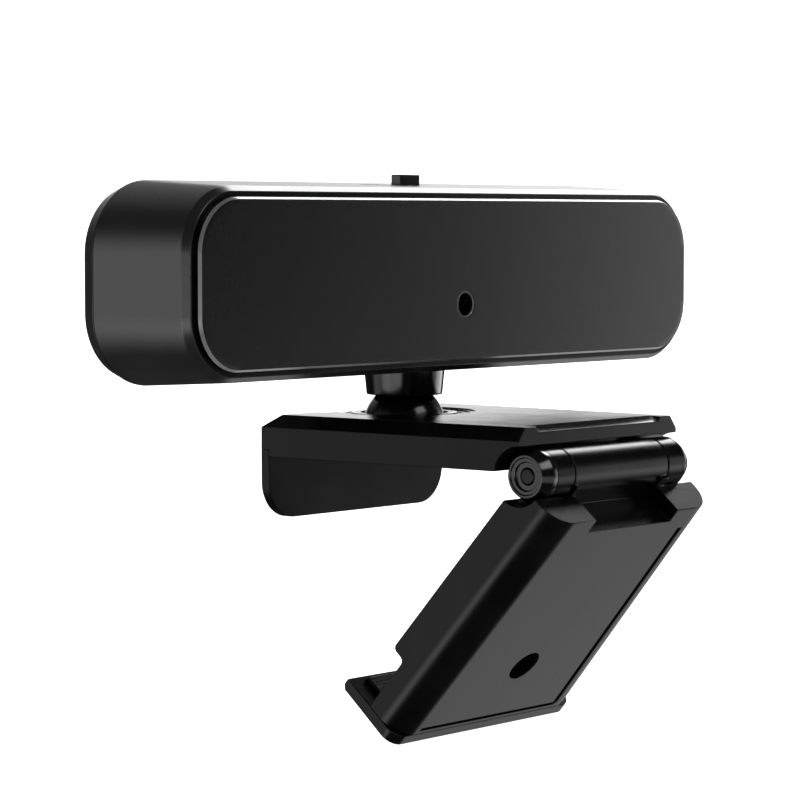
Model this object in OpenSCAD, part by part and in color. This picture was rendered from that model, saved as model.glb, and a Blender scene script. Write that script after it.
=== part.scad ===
// Monitor-clip webcam: a wide camera head on a ball joint, a clip arm with a front lip,
// and a hinged rear leg with a tripod socket. Millimetres, +Z up, X across the width.
// The origin lies on the clip's seat face, straight below the head's pan axis.

/* [Head] */
// Width of the front panel
panel_w = 110; // [100:1:116]
// Height of the front panel
panel_h = 23.3; // [22:0.1:25]
// Corner radius of the front panel
panel_r = 6.7; // [5:0.1:8]
// How far the front panel stands ahead of the pan axis
panel_ahead = 11.7; // [11:0.1:12.5]
// Height of the front panel's centre above the clip's seat
head_z = 25.6; // [25:0.1:26.5]
// Distance of the lens below the panel's centre
lens_drop = 3.6; // [3:0.1:4.2]
// Radius of the lens opening in the panel
lens_hole_r = 1.65; // [1.5:0.05:1.9]
// Travel of the privacy shutter
shutter_travel = 8; // [7.4:0.1:8.2]

/* [Ball joint] */
// Radius of the ball
ball_r = 6.05; // [5.9:0.05:6.15]
// Height of the ball's centre above the clip's seat
ball_z = 4.1; // [4:0.05:4.2]

/* [Clip arm] */
// Height of the arm's top above its seat
arm_h = 6.1; // [6:0.1:6.6]
// Distance of the arm's lip end behind the pan axis
arm_back = 10.5; // [10.4:0.1:11.5]
// Half width of the arm at the lip end
arm_half_lip = 19.7; // [19:0.1:21]
// Half width of the arm at the hinge end
arm_half_hinge = 18.4; // [18:0.1:19]
// Depth of the lip below the seat
lip_drop = 9.1; // [8:0.1:12]

/* [Hinge and leg] */
// Distance of the hinge axis ahead of the pan axis
hinge_ahead = 35.75; // [35:0.05:37]
// Distance of the hinge axis below the seat
hinge_drop = 0.6; // [0.5:0.05:0.7]
// Radius of the hinge barrel
barrel_r = 3.75; // [3.6:0.05:3.8]
// Angle of the leg below the horizontal
leg_angle = 49.7; // [5:0.1:90]
// Length of the leg from the hinge axis to its outer end
leg_len = 43.3; // [42:0.1:46]
// Distance of the leg's outer face from the hinge axis
leg_depth = 9.05; // [8.8:0.05:9.4]
// Distance of the tripod socket from the hinge axis, along the leg
socket_y = 30.2; // [26:0.1:31]
// Wall radius of the 1/4 inch tripod thread, its minor radius
socket_r = 2.6; // [2.5:0.01:2.63]

/* [Hidden] */
$fn = 48;
eps = 0.01;

black = [0.05, 0.05, 0.055];
soft_black = [0.09, 0.09, 0.095];
steel = [0.62, 0.63, 0.65];
board_green = [0.06, 0.2, 0.12];
rubber_black = [0.04, 0.04, 0.04];
nylon_white = [0.85, 0.85, 0.8];

// Head depths, counted backwards from the panel's front face
panel_t = 1.8;
band_y = 1.0;
band_chamfer = 0.8;
front_wall_y = 3.0;
seam_y = 17.7;
seam_gap = 0.08;
back_y = 20.3;
// Outer sizes of the housing at its front edge, at the seam and at the back
front_grow = 1.55;
seam_grow = 2.4;
back_inset = 1.0;
cavity_w = 111.5;
cavity_h = 24.8;
cavity_r = 8;
// Places inside the head
post_x = 50;
post_z = 7.6;
boss_x = 40;
boss_z = 6;
board_y = 7.2;
board_t = 1.2;
board_w = 92;
shutter_y = 3.25;
shutter_t = 0.5;
guide_y = 3.95;
guide_t = 0.4;
rail_z = 11.35;
rail_t = 0.6;
tab_half = 2.2;
tab_y0 = 10.6;
tab_y1 = 12.4;
tab_top = 15.2;
blade_half = 3.6;
slot_clear = 0.3;
gland_x = 0;
gland_z = -2.5;
gland_r = 3.2;
cable_r = 1.9;
head_floor = head_z - cavity_h / 2;
// Neck
cup_z0 = 8.57;
cup_z1 = 12.3;
cup_r0 = 5.58;
cup_r1 = 5.95;
stud_r = 1.5;
neck_boss_top = 16.6;
nut_t = 2.4;
nut_flat = 5.5;
// Ball socket
liner_gap = 0.05;
liner_t = 0.65;
liner_r = ball_r + liner_gap + liner_t;
seat_r = liner_r + 0.05;
hub_r = 8.0;
hub_z0 = 2.75;
flange_r = 9.2;
collar_r = 7.2;
collar_rim_r = 7.8;
recess_r = 10.5;
recess_z = 5.6;
flange_top = 5.78;
collar_top = 5.95;
plate_z = 3.6;
clip_ring_r = 8.9;
clip_ring_groove = 7.55;
clip_ring_z = 2.9;
clip_ring_t = 0.4;
// Arm
hinge_y = -hinge_ahead;
hinge_z = -hinge_drop;
arm_end = -hinge_ahead - 0.1;
arm_wall = 1.8;
lip_t = 1.5;
end_wall = 2;
side_drop = 1.8;
side_inset = 1.5;
lip_inset = 2.7;
scoop_r = 4.15;
cavity_front = -29;
relief_half = 14.4;
cover_t = 1.2;
pad_t = 0.6;
arm_screws_at = [[13.4, -26.5], [-13.4, -26.5], [15, 4.5], [-15, 4.5]];
// Hinge stations along X
barrel_x = [-10.3, 11.3];
washer_x = [[-10.55, -10.35], [11.35, 11.55]];
knuckle_x = [[-14.35, -10.6], [11.6, 15.2]];
cap_x = [-16.9, 17.2];
cap_len = [2.5, 1.95];
cap_recess = 0.6;
pin_r = 1.25;
pin_gap = 0.05;
// Leg, in its own frame: hinge axis at the origin, +Y along the leg, +Z its inner side
leg_half_hinge = 18.3;
leg_half_foot = 20.45;
leg_y0 = 0.3;
leg_edge_z = -0.2;
leg_step_z = -2.7;
leg_step_y = 32.6;
leg_round = 4.1;
cradle_r = 4;
notch_half = 9.6;
notch_y = 2.5;
foot_t = 1.7;
foot_y = leg_len - foot_t;
foot_tip = 2.65;
foot_half = 20.4;
leg_wall = 1.7;
leg_cover_t = 1.2;
groove_w = 0.5;
groove_side_w = 0.85;
groove_d = 0.8;
socket_x = -0.8;
insert_r = 4.2;
insert_t = 4.4;
insert_z = -leg_depth + 0.7;
leg_screws_at = [[13, 10], [-13, 10], [14.5, 37], [-14.5, 37]];

// ---------- helpers ----------

// Rectangle with round corners, centred, in the XY plane
module round_rect(w, h, r) {
    square([w - 2 * r, h], center = true);
    square([w, h - 2 * r], center = true);
    for (sx = [-1, 1], sy = [-1, 1])
        translate([sx * (w / 2 - r), sy * (h / 2 - r)]) circle(r);
}

// Slab facing the front of the head, from depth y0 to depth y1
module slab(w, h, r, y0, y1) {
    translate([0, y1, 0]) rotate([90, 0, 0]) linear_extrude(y1 - y0) round_rect(w, h, r);
}

// The head's own frame: panel face at Y = 0, panel centre at the origin
module in_head() {
    translate([0, -panel_ahead, head_z]) children();
}

// The leg's own frame
module in_leg() {
    translate([0, hinge_y, hinge_z]) rotate([-leg_angle, 0, 0]) children();
}

// Cylinder along +Y
module rod_y(r, y0, y1) {
    translate([0, y0, 0]) rotate([-90, 0, 0]) cylinder(r = r, h = y1 - y0);
}

// Cylinder along +X
module rod_x(r, x0, x1) {
    translate([x0, 0, 0]) rotate([0, 90, 0]) cylinder(r = r, h = x1 - x0);
}

// Block between two corners
module block(a, b) {
    translate(a) cube(b - a);
}

// Pan-head screw standing on Z = 0 with its shank down
module screw(head_r, head_t, shank_r, shank_l) {
    difference() {
        cylinder(r = head_r, h = head_t);
        translate([0, 0, head_t * 0.45]) cylinder(r = head_r * 0.45, h = head_t, $fn = 6);
    }
    translate([0, 0, -shank_l]) cylinder(r = shank_r, h = shank_l);
}

// ---------- head ----------

// Outer body of the housing from the front band to the seam
module housing_body() {
    edge_w = panel_w + 2 * front_grow;
    edge_h = panel_h + 2 * front_grow;
    edge_r = panel_r + front_grow;
    hull() {
        slab(edge_w - 2 * band_chamfer, edge_h - 2 * band_chamfer, edge_r - band_chamfer,
             band_y, band_y + eps);
        slab(edge_w, edge_h, edge_r, band_y + band_chamfer, band_y + band_chamfer + eps);
        slab(panel_w + 2 * seam_grow, panel_h + 2 * seam_grow, panel_r + seam_grow + 1,
             seam_y - eps, seam_y);
    }
}

module housing() {
    color(soft_black) difference() {
        union() {
            difference() {
                in_head() housing_body();
                in_head() slab(panel_w + 0.1, panel_h + 0.1, panel_r, -1, panel_t);
                in_head() slab(cavity_w, cavity_h, cavity_r, front_wall_y, seam_y + 1);
            }
            in_head() for (x = [-post_x, post_x], z = [-post_z, post_z])
                translate([x, 0, z]) rod_y(2.1, front_wall_y - 0.5, seam_y - 2.2);
            in_head() for (x = [-boss_x, boss_x], z = [-boss_z, boss_z])
                translate([x, 0, z]) rod_y(1.8, front_wall_y - 0.5, board_y);
            in_head() for (x = [-9, 17])
                translate([x, 0, 4]) rod_y(1, front_wall_y - 0.5, guide_y);
            translate([0, 0, head_floor - 0.5])
                cylinder(r = 4.4, h = neck_boss_top - head_floor + 0.5);
        }
        in_head() for (x = [-post_x, post_x], z = [-post_z, post_z])
            translate([x, 0, z]) rod_y(0.85, seam_y - 9, seam_y);
        in_head() for (x = [-boss_x, boss_x], z = [-boss_z, boss_z])
            translate([x, 0, z]) rod_y(0.6, board_y - 3, board_y + 1);
        in_head() block([-4.5, 0, -lens_drop - 4.5], [4.5, front_wall_y + 0.5, -lens_drop + 4.5]);
        in_head() block([-shutter_travel - tab_half - slot_clear, tab_y0 - slot_clear, cavity_h / 2 - 1],
                        [tab_half + slot_clear, tab_y1 + slot_clear, tab_top]);
        translate([0, 0, cup_z0]) cylinder(r = cup_r1 + 0.05, h = cup_z1 - cup_z0);
        translate([0, 0, cup_z0]) cylinder(r = stud_r + 0.05, h = 10);
    }
}

module front_panel() {
    color(black) in_head() difference() {
        hull() {
            slab(panel_w - 0.8, panel_h - 0.8, panel_r - 0.4, 0, eps);
            slab(panel_w, panel_h, panel_r, 0.4, panel_t - 0.02);
        }
        translate([0, 0, -lens_drop]) rod_y(lens_hole_r, -1, panel_t + 1);
        translate([0, -eps, -lens_drop]) rotate([-90, 0, 0])
            cylinder(r1 = lens_hole_r + 0.25, r2 = lens_hole_r, h = 0.25);
    }
}

module rear_cover() {
    seam_w = panel_w + 2 * seam_grow;
    seam_h = panel_h + 2 * seam_grow;
    color(soft_black) in_head() difference() {
        union() {
            hull() {
                slab(seam_w, seam_h, panel_r + seam_grow + 1, seam_y + seam_gap, seam_y + 0.6);
                slab(seam_w - 2 * back_inset, seam_h - 2 * back_inset, panel_r + seam_grow,
                     back_y - eps, back_y);
            }
            slab(cavity_w - 0.2, cavity_h - 0.2, cavity_r - 0.1, seam_y - 1.5, seam_y + 0.5);
        }
        slab(cavity_w - 2.6, cavity_h - 2.6, cavity_r - 1.3, seam_y - 2, seam_y + 0.9);
        for (x = [-post_x, post_x], z = [-post_z, post_z]) translate([x, 0, z]) {
            rod_y(1.05, seam_y - 3, back_y + 1);
            rod_y(2.1, back_y - 1.1, back_y + 1);
        }
        translate([gland_x, 0, gland_z]) rod_y(gland_r, seam_y - 3, back_y + 1);
    }
}

module head_screws() {
    color(steel) in_head() for (x = [-post_x, post_x], z = [-post_z, post_z])
        translate([x, back_y - 1.1, z]) rotate([-90, 0, 0]) screw(1.9, 0.9, 0.8, 8);
}

module main_board() {
    color(board_green) in_head() difference() {
        block([-board_w / 2, board_y, -8.4], [board_w / 2, board_y + board_t, 9]);
        for (x = [-boss_x, boss_x], z = [-boss_z, boss_z])
            translate([x, 0, z]) rod_y(0.9, board_y - 1, board_y + board_t + 1);
    }
}

module board_screws() {
    color(steel) in_head() for (x = [-boss_x, boss_x], z = [-boss_z, boss_z])
        translate([x, board_y + board_t, z]) rotate([-90, 0, 0]) screw(1.5, 0.8, 0.55, 3.5);
}

module image_sensor() {
    color([0.15, 0.16, 0.2]) in_head()
        block([-2.6, board_y - 0.7, -lens_drop - 2.2], [2.6, board_y, -lens_drop + 2.2]);
}

module lens_holder() {
    color(black) in_head() difference() {
        block([-4.2, 5.2, -lens_drop - 4.2], [4.2, board_y, -lens_drop + 4.2]);
        block([-3.2, 6.2, -lens_drop - 3.2], [3.2, board_y + 1, -lens_drop + 3.2]);
        translate([0, 0, -lens_drop]) rod_y(3, 4, board_y);
    }
}

module lens_barrel() {
    color(black) in_head() translate([0, 0, -lens_drop]) difference() {
        union() {
            rod_y(3, 4.5, 6.3);
            rod_y(3.4, 4.05, 4.9);
        }
        rod_y(2.2, 3, 7);
        rod_y(2.6, 3, 4.75);
    }
}

module lens_glass() {
    color([0.2, 0.22, 0.3]) in_head() translate([0, 0, -lens_drop]) intersection() {
        rod_y(2.55, 4, 4.75);
        translate([0, 9.1, 0]) sphere(5);
    }
}

module shutter_guide() {
    color(black) in_head() difference() {
        block([-10, guide_y, -9], [18, guide_y + guide_t, 6]);
        translate([0, 0, -lens_drop]) rod_y(3.5, guide_y - 1, guide_y + 1);
        block([5, guide_y - 1, -7.5], [15, guide_y + 1, 0.5]);
    }
}

module privacy_shutter() {
    blade_x0 = shutter_travel - blade_half;
    blade_x1 = shutter_travel + blade_half;
    color(black) in_head() {
        block([blade_x0, shutter_y, -lens_drop - 4], [blade_x1, shutter_y + shutter_t, rail_z + rail_t]);
        block([blade_x0, shutter_y + shutter_t, rail_z], [blade_x0 + 4, tab_y0 - 0.2, rail_z + rail_t]);
        block([-tab_half, tab_y0 - 0.2, rail_z], [blade_x0 + 4, tab_y1 + 0.2, rail_z + rail_t]);
        block([-tab_half, tab_y0, rail_z + rail_t], [tab_half, tab_y1, tab_top]);
    }
}

module usb_header() {
    color(nylon_white) in_head() difference() {
        block([-22, board_y + board_t, -6.5], [-14, board_y + board_t + 4, -2]);
        block([-21.2, board_y + board_t + 1, -5.8], [-14.8, board_y + board_t + 5, -2.7]);
    }
}

module cable_gland() {
    color(rubber_black) in_head() translate([gland_x, 0, gland_z]) difference() {
        union() {
            rod_y(gland_r, seam_y - 0.6, back_y + 0.9);
            rod_y(gland_r + 0.8, seam_y - 0.6, seam_y + 0.9);
        }
        rod_y(cable_r, seam_y - 2, back_y + 2);
    }
}

// ---------- neck and ball joint ----------

module neck_cup() {
    color(black) difference() {
        translate([0, 0, cup_z0]) cylinder(r1 = cup_r0, r2 = cup_r1, h = cup_z1 - cup_z0);
        translate([0, 0, cup_z0 - 1]) cylinder(r = 4.3, h = ball_z + ball_r - cup_z0 + 1.1);
        cylinder(r = stud_r + 0.05, h = 20);
    }
}

module ball_stud() {
    color(black) difference() {
        union() {
            translate([0, 0, ball_z]) sphere(ball_r);
            translate([0, 0, ball_z]) cylinder(r = stud_r, h = neck_boss_top + nut_t + 0.4 - ball_z);
        }
        translate([0, 0, ball_z - 1.5 - 10]) cylinder(r = 10, h = 10);
        translate([0, 0, ball_z - 2]) cylinder(r = 2, h = 1.7, $fn = 6);
    }
}

module neck_nut() {
    color(steel) translate([0, 0, neck_boss_top]) difference() {
        cylinder(r = nut_flat / 2 / cos(30), h = nut_t, $fn = 6);
        translate([0, 0, -1]) cylinder(r = stud_r, h = nut_t + 2);
    }
}

module ball_liner() {
    color(nylon_white) translate([0, 0, ball_z]) difference() {
        intersection() {
            sphere(liner_r);
            translate([0, 0, -1.4]) cylinder(r = 8, h = 2.8);
        }
        sphere(ball_r + liner_gap);
        block([-0.3, 0, -2], [0.3, 8, 2]);
    }
}

module swivel_hub() {
    color(black) difference() {
        union() {
            translate([0, 0, hub_z0]) cylinder(r = hub_r, h = flange_top - hub_z0);
            translate([0, 0, recess_z + 0.03]) cylinder(r = flange_r, h = flange_top - recess_z - 0.03);
        }
        translate([0, 0, ball_z]) sphere(seat_r);
        translate([0, 0, ball_z + 0.1]) cylinder(r = collar_r, h = 5);
        translate([0, 0, clip_ring_z]) difference() {
            cylinder(r = hub_r + 1, h = clip_ring_t + 0.02);
            cylinder(r = clip_ring_groove, h = clip_ring_t + 0.02);
        }
    }
}

module swivel_collar() {
    color(black) difference() {
        union() {
            translate([0, 0, ball_z + 0.1]) cylinder(r = collar_r, h = collar_top - ball_z - 0.1);
            translate([0, 0, flange_top]) cylinder(r = collar_rim_r, h = collar_top - flange_top);
        }
        translate([0, 0, ball_z]) sphere(seat_r);
    }
}

module swivel_ring() {
    color(steel) translate([0, 0, clip_ring_z]) difference() {
        cylinder(r = clip_ring_r, h = clip_ring_t);
        translate([0, 0, -1]) cylinder(r = clip_ring_groove, h = 2);
        block([-1.5, -12, -1], [1.5, 0, 1]);
    }
}

module swivel_washer() {
    color(steel) translate([0, 0, clip_ring_z + clip_ring_t + 0.08]) difference() {
        cylinder(r = clip_ring_r - 0.1, h = plate_z - clip_ring_z - clip_ring_t - 0.08);
        translate([0, 0, -1]) cylinder(r = hub_r + 0.15, h = 2);
    }
}

// ---------- clip arm ----------

// Plan of the arm, drawn in by `inset` at the sides and by `back` at the lip end
module arm_plan(inset, back, front) {
    slope = (arm_half_lip - arm_half_hinge) / (arm_back - arm_end);
    y0 = front;
    y1 = arm_back - back;
    x0 = arm_half_hinge + slope * (y0 - arm_end) - inset;
    x1 = arm_half_hinge + slope * (y1 - arm_end) - inset;
    polygon([[-x0, y0], [x0, y0], [x1, y1], [-x1, y1]]);
}

module arm_block() {
    hull() {
        linear_extrude(arm_h - side_drop) arm_plan(0, 0, arm_end);
        translate([0, 0, arm_h - eps]) linear_extrude(eps) arm_plan(side_inset, lip_inset, arm_end);
    }
}

module lip_plate() {
    lip_r = 5.5;
    translate([0, arm_back, 0]) rotate([90, 0, 0]) linear_extrude(lip_t) {
        translate([-arm_half_lip, -lip_drop + lip_r]) square([2 * arm_half_lip, lip_drop - lip_r + 1]);
        translate([-arm_half_lip + lip_r, -lip_drop]) square([2 * (arm_half_lip - lip_r), lip_drop]);
        for (s = [-1, 1]) translate([s * (arm_half_lip - lip_r), -lip_drop + lip_r]) circle(lip_r);
    }
}

// One hinge knuckle with the web that carries it from behind
module arm_knuckle(x) {
    translate([0, hinge_y, hinge_z]) {
        rod_x(barrel_r, x[0], x[1]);
        block([x[0], 0.5, hinge_drop + 0.05], [x[1], 5.5, hinge_drop + 1.75]);
    }
}

module arm_shell() {
    color(soft_black) difference() {
        union() {
            difference() {
                arm_block();
                translate([0, hinge_y, hinge_z]) rod_x(scoop_r, -25, 25);
                translate([0, 0, -1]) linear_extrude(plate_z + 1) arm_plan(arm_wall, end_wall, cavity_front);
            }
            lip_plate();
            for (x = knuckle_x) arm_knuckle(x);
            for (p = arm_screws_at) translate([p[0], p[1], cover_t])
                cylinder(r = 1.9, h = plate_z - cover_t + 0.5);
        }
        for (p = arm_screws_at) translate([p[0], p[1], -1]) cylinder(r = 0.7, h = 5.2);
        translate([0, 0, recess_z]) cylinder(r = recess_r, h = 2);
        translate([0, 0, recess_z]) block([-recess_r, 0, 0], [recess_r, arm_back + 1, 2]);
        cylinder(r = hub_r + 0.05, h = arm_h + 1);
        translate([0, 0, cover_t]) cylinder(r = clip_ring_r + 0.12, h = plate_z - cover_t);
        translate([0, hinge_y, hinge_z]) rod_x(pin_r, -25, 25);
        // Finger relief in the top edge over the hinge
        translate([0, arm_end, arm_h]) rotate([90, 0, 90]) hull() {
            translate([0, 0, -relief_half + 0.7]) linear_extrude(2 * relief_half - 1.4)
                polygon([[-1, -0.75], [0, -0.75], [2.2, eps], [2.2, 1], [-1, 1]]);
            translate([0, 0, -relief_half]) linear_extrude(2 * relief_half)
                polygon([[-1, eps], [2.2, eps], [2.2, 1], [-1, 1]]);
        }
    }
}

module arm_cover() {
    color(soft_black) difference() {
        linear_extrude(cover_t) arm_plan(arm_wall + 0.08, end_wall + 0.08, cavity_front + 0.08);
        for (p = arm_screws_at) translate([p[0], p[1], -1]) {
            cylinder(r = 0.9, h = 3);
            cylinder(r = 1.6, h = 1.7);
        }
        translate([0, 0, -1]) linear_extrude(pad_t + 1) seat_plan(0.05);
        translate([0, 0, -1]) cylinder(r = 7, h = 4);
    }
}

// Outline of the seat pad, grown by `gap`
module seat_plan(gap) {
    translate([-11.3 - gap, -27.5 - gap]) square([22.6 + 2 * gap, 35.5 + 2 * gap]);
}

module arm_screws() {
    color(steel) for (p = arm_screws_at) translate([p[0], p[1], 0.7]) mirror([0, 0, 1])
        screw(1.5, 0.6, 0.65, 2.8);
}

module seat_pad() {
    color(rubber_black) linear_extrude(pad_t) seat_plan(0);
}

// ---------- hinge ----------

module in_hinge() {
    translate([0, hinge_y, hinge_z]) children();
}

module hinge_pin() {
    color(steel) in_hinge() rod_x(pin_r, cap_x[0] + cap_recess - 0.15, cap_x[1] - cap_recess + 0.15);
}

module hinge_washers() {
    color(steel) in_hinge() for (x = washer_x) difference() {
        rod_x(2.9, x[0], x[1]);
        rod_x(pin_r, x[0] - 1, x[1] + 1);
    }
}

// End cap standing on X = 0: a long bevel, a rim step and the pin's recess
module hinge_cap(len) {
    face_r = 2.95;
    bevel = 1.6;
    difference() {
        union() {
            rod_x(barrel_r, 0, len - bevel);
            translate([len - bevel, 0, 0]) rotate([0, 90, 0])
                cylinder(r1 = barrel_r, r2 = face_r, h = bevel);
        }
        rod_x(pin_r, -1, len + 1);
        rod_x(1.95, len - cap_recess, len + 1);
        rod_x(2.55, len - 0.2, len + 1);
    }
}

module hinge_cap_left() {
    color(black) in_hinge() translate([cap_x[0] + cap_len[0], 0, 0]) mirror([1, 0, 0]) hinge_cap(cap_len[0]);
}

module hinge_cap_right() {
    color(black) in_hinge() translate([cap_x[1] - cap_len[1], 0, 0]) hinge_cap(cap_len[1]);
}

// ---------- leg ----------

// Cross-section of the leg with half width w: flat inner edge, rounded outer corners
module leg_section(w, y0, y1) {
    translate([0, y1, 0]) rotate([90, 0, 0]) linear_extrude(y1 - y0) {
        translate([-w, -leg_depth + leg_round]) square([2 * w, leg_depth - leg_round + leg_edge_z]);
        translate([-w + leg_round, -leg_depth]) square([2 * (w - leg_round), leg_round + 1]);
        for (s = [-1, 1]) translate([s * (w - leg_round), -leg_depth + leg_round]) circle(leg_round);
    }
}

function leg_half(y) = leg_half_hinge + (leg_half_foot - leg_half_hinge) * (y - leg_y0) / (foot_y - leg_y0);

// Plan of the leg drawn in by `inset`, from y0 to y1
module leg_plan(inset, y0, y1) {
    polygon([[-leg_half(y0) + inset, y0], [leg_half(y0) - inset, y0],
             [leg_half(y1) - inset, y1], [-leg_half(y1) + inset, y1]]);
}

// Profile of what is cut from the rims near the foot: a step with a round shoulder
module rim_step() {
    rotate([90, 0, 90]) translate([0, 0, -30]) linear_extrude(60) difference() {
        translate([leg_step_y, leg_step_z]) square([20, 5]);
        translate([leg_step_y - 0.8, leg_edge_z - 0.8]) circle(0.8);
        difference() {
            translate([leg_step_y, leg_step_z]) square(0.6);
            translate([leg_step_y + 0.6, leg_step_z + 0.6]) circle(0.6);
        }
    }
}

// Groove along the foot and up one side of the outer face
module leg_outline_groove() {
    x_low = 15.6;
    x_top = 14;
    y_low = 40.5;
    y_top = 4.2;
    corner = 1;
    translate([0, 0, -leg_depth - 1]) linear_extrude(groove_d + 1) {
        translate([-15.6, y_low]) square([15.6 + x_low - corner, groove_w]);
        translate([x_low - corner, y_low + groove_w - corner]) intersection() {
            difference() {
                circle(corner);
                circle(corner - groove_w);
            }
            square(corner);
        }
        polygon([[x_low - groove_side_w, y_low + groove_w - corner], [x_low, y_low + groove_w - corner],
                 [x_top, y_top], [x_top - groove_side_w, y_top]]);
    }
}

module leg_shell() {
    color(soft_black) in_leg() difference() {
        union() {
            difference() {
                hull() {
                    leg_section(leg_half(leg_y0), leg_y0, leg_y0 + eps);
                    leg_section(leg_half(foot_y), foot_y - eps, foot_y);
                }
                rim_step();
                rod_x(cradle_r, -25, 25);
                block([-notch_half, -1, -leg_depth - 1], [notch_half, notch_y, 1]);
                translate([0, 0, -leg_depth + leg_wall]) linear_extrude(20)
                    leg_plan(leg_wall, 7, foot_y - 1.6);
            }
            rod_x(barrel_r, barrel_x[0], barrel_x[1]);
            block([-notch_half + 0.3, 0, -barrel_r], [notch_half - 0.3, 5, -0.6]);
            for (p = leg_screws_at) translate([p[0], p[1], -leg_depth + 1])
                cylinder(r = 1.9, h = leg_depth - 1 + leg_step_z - leg_cover_t);
            translate([socket_x, socket_y, -leg_depth + 1])
                cylinder(r = insert_r + 1.2, h = insert_z + insert_t + leg_depth - 1);
        }
        rod_x(pin_r + pin_gap, -25, 25);
        leg_outline_groove();
        for (p = leg_screws_at) translate([p[0], p[1], -leg_depth + leg_wall]) cylinder(r = 0.7, h = 10);
        translate([socket_x, socket_y, insert_z]) cylinder(r = insert_r, h = 10);
        translate([socket_x, socket_y, -leg_depth - 1]) cylinder(r = socket_r, h = 3);
        for (x = [-8, 8]) translate([x, 0, -5.6]) rod_y(0.7, foot_y - 3, foot_y + 1);
    }
}

module leg_cover() {
    color(soft_black) in_leg() difference() {
        translate([0, 0, leg_step_z - leg_cover_t]) linear_extrude(leg_cover_t)
            leg_plan(leg_wall + 0.1, 7.1, foot_y - 1.7);
        for (p = leg_screws_at) translate([p[0], p[1], -10]) cylinder(r = 0.9, h = 10);
        for (p = leg_screws_at) translate([p[0], p[1], leg_step_z - 0.6]) cylinder(r = 1.6, h = 2);
    }
}

module leg_screws() {
    color(steel) in_leg() for (p = leg_screws_at) translate([p[0], p[1], leg_step_z - 0.6])
        screw(1.5, 0.5, 0.65, 3.4);
}

module tripod_insert() {
    color([0.12, 0.12, 0.12]) in_leg() translate([socket_x, socket_y, insert_z]) difference() {
        cylinder(r = insert_r, h = insert_t);
        translate([0, 0, -1]) cylinder(r = socket_r, h = insert_t + 2);
    }
}

// Plate across the leg's end with rounded outer corners and a chamfered inner tip
module foot_plate() {
    corner = 2.3;
    color(soft_black) in_leg() difference() {
        translate([0, leg_len, 0]) rotate([90, 0, 0]) linear_extrude(foot_t - 0.02) {
            translate([-foot_half, -leg_depth + corner])
                square([2 * foot_half, leg_depth - corner + foot_tip]);
            translate([-foot_half + corner, -leg_depth]) square([2 * (foot_half - corner), corner + 1]);
            for (s = [-1, 1]) translate([s * (foot_half - corner), -leg_depth + corner]) circle(corner);
        }
        rotate([90, 0, 90]) translate([0, 0, -30]) linear_extrude(60)
            polygon([[leg_len - 0.7, foot_tip + 0.1], [leg_len + 0.1, foot_tip - 0.7],
                     [leg_len + 1, foot_tip + 1]]);
        for (x = [-8, 8]) translate([x, 0, -5.6]) {
            rod_y(0.9, foot_y - 1, leg_len + 1);
            rod_y(1.6, leg_len - 0.8, leg_len + 1);
        }
    }
}

module foot_screws() {
    color(steel) in_leg() for (x = [-8, 8]) translate([x, leg_len - 0.8, -5.6]) rotate([-90, 0, 0])
        screw(1.5, 0.7, 0.65, 3);
}

module foot_pad() {
    color(rubber_black) in_leg() block([-17, foot_y - 0.6, -1.9], [17, foot_y, 2]);
}

housing();
front_panel();
rear_cover();
head_screws();
main_board();
board_screws();
image_sensor();
lens_holder();
lens_barrel();
lens_glass();
shutter_guide();
privacy_shutter();
usb_header();
cable_gland();
neck_cup();
ball_stud();
neck_nut();
ball_liner();
swivel_hub();
swivel_collar();
swivel_ring();
swivel_washer();
arm_shell();
arm_cover();
arm_screws();
seat_pad();
hinge_pin();
hinge_washers();
hinge_cap_left();
hinge_cap_right();
leg_shell();
leg_cover();
leg_screws();
tripod_insert();
foot_plate();
foot_screws();
foot_pad();
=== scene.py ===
"""Looks of the webcam and its monitor clip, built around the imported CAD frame."""
import math

import bmesh
import bpy
from mathutils import Matrix, Vector


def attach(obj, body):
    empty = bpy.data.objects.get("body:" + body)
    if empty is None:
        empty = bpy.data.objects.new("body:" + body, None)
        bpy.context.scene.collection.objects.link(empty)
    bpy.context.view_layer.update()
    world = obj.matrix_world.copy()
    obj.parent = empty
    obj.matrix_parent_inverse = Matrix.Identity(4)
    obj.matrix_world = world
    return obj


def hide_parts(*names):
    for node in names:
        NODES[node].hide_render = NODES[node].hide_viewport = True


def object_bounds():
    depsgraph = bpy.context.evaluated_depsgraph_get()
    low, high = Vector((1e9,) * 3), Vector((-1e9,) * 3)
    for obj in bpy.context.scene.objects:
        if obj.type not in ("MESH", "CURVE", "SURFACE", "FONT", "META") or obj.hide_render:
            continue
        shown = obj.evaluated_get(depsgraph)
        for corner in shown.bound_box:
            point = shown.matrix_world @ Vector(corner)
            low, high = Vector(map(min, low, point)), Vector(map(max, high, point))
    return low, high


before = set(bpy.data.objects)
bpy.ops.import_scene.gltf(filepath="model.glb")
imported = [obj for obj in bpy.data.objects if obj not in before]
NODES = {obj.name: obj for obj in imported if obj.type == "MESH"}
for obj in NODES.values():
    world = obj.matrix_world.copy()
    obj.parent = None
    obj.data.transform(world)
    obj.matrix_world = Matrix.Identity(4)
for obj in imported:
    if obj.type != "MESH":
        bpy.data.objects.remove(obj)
cad_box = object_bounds()
MM = 0.001
COLLECTION = bpy.context.scene.collection

# ---------------------------------------------------------------- sizes, millimetres and degrees

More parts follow.
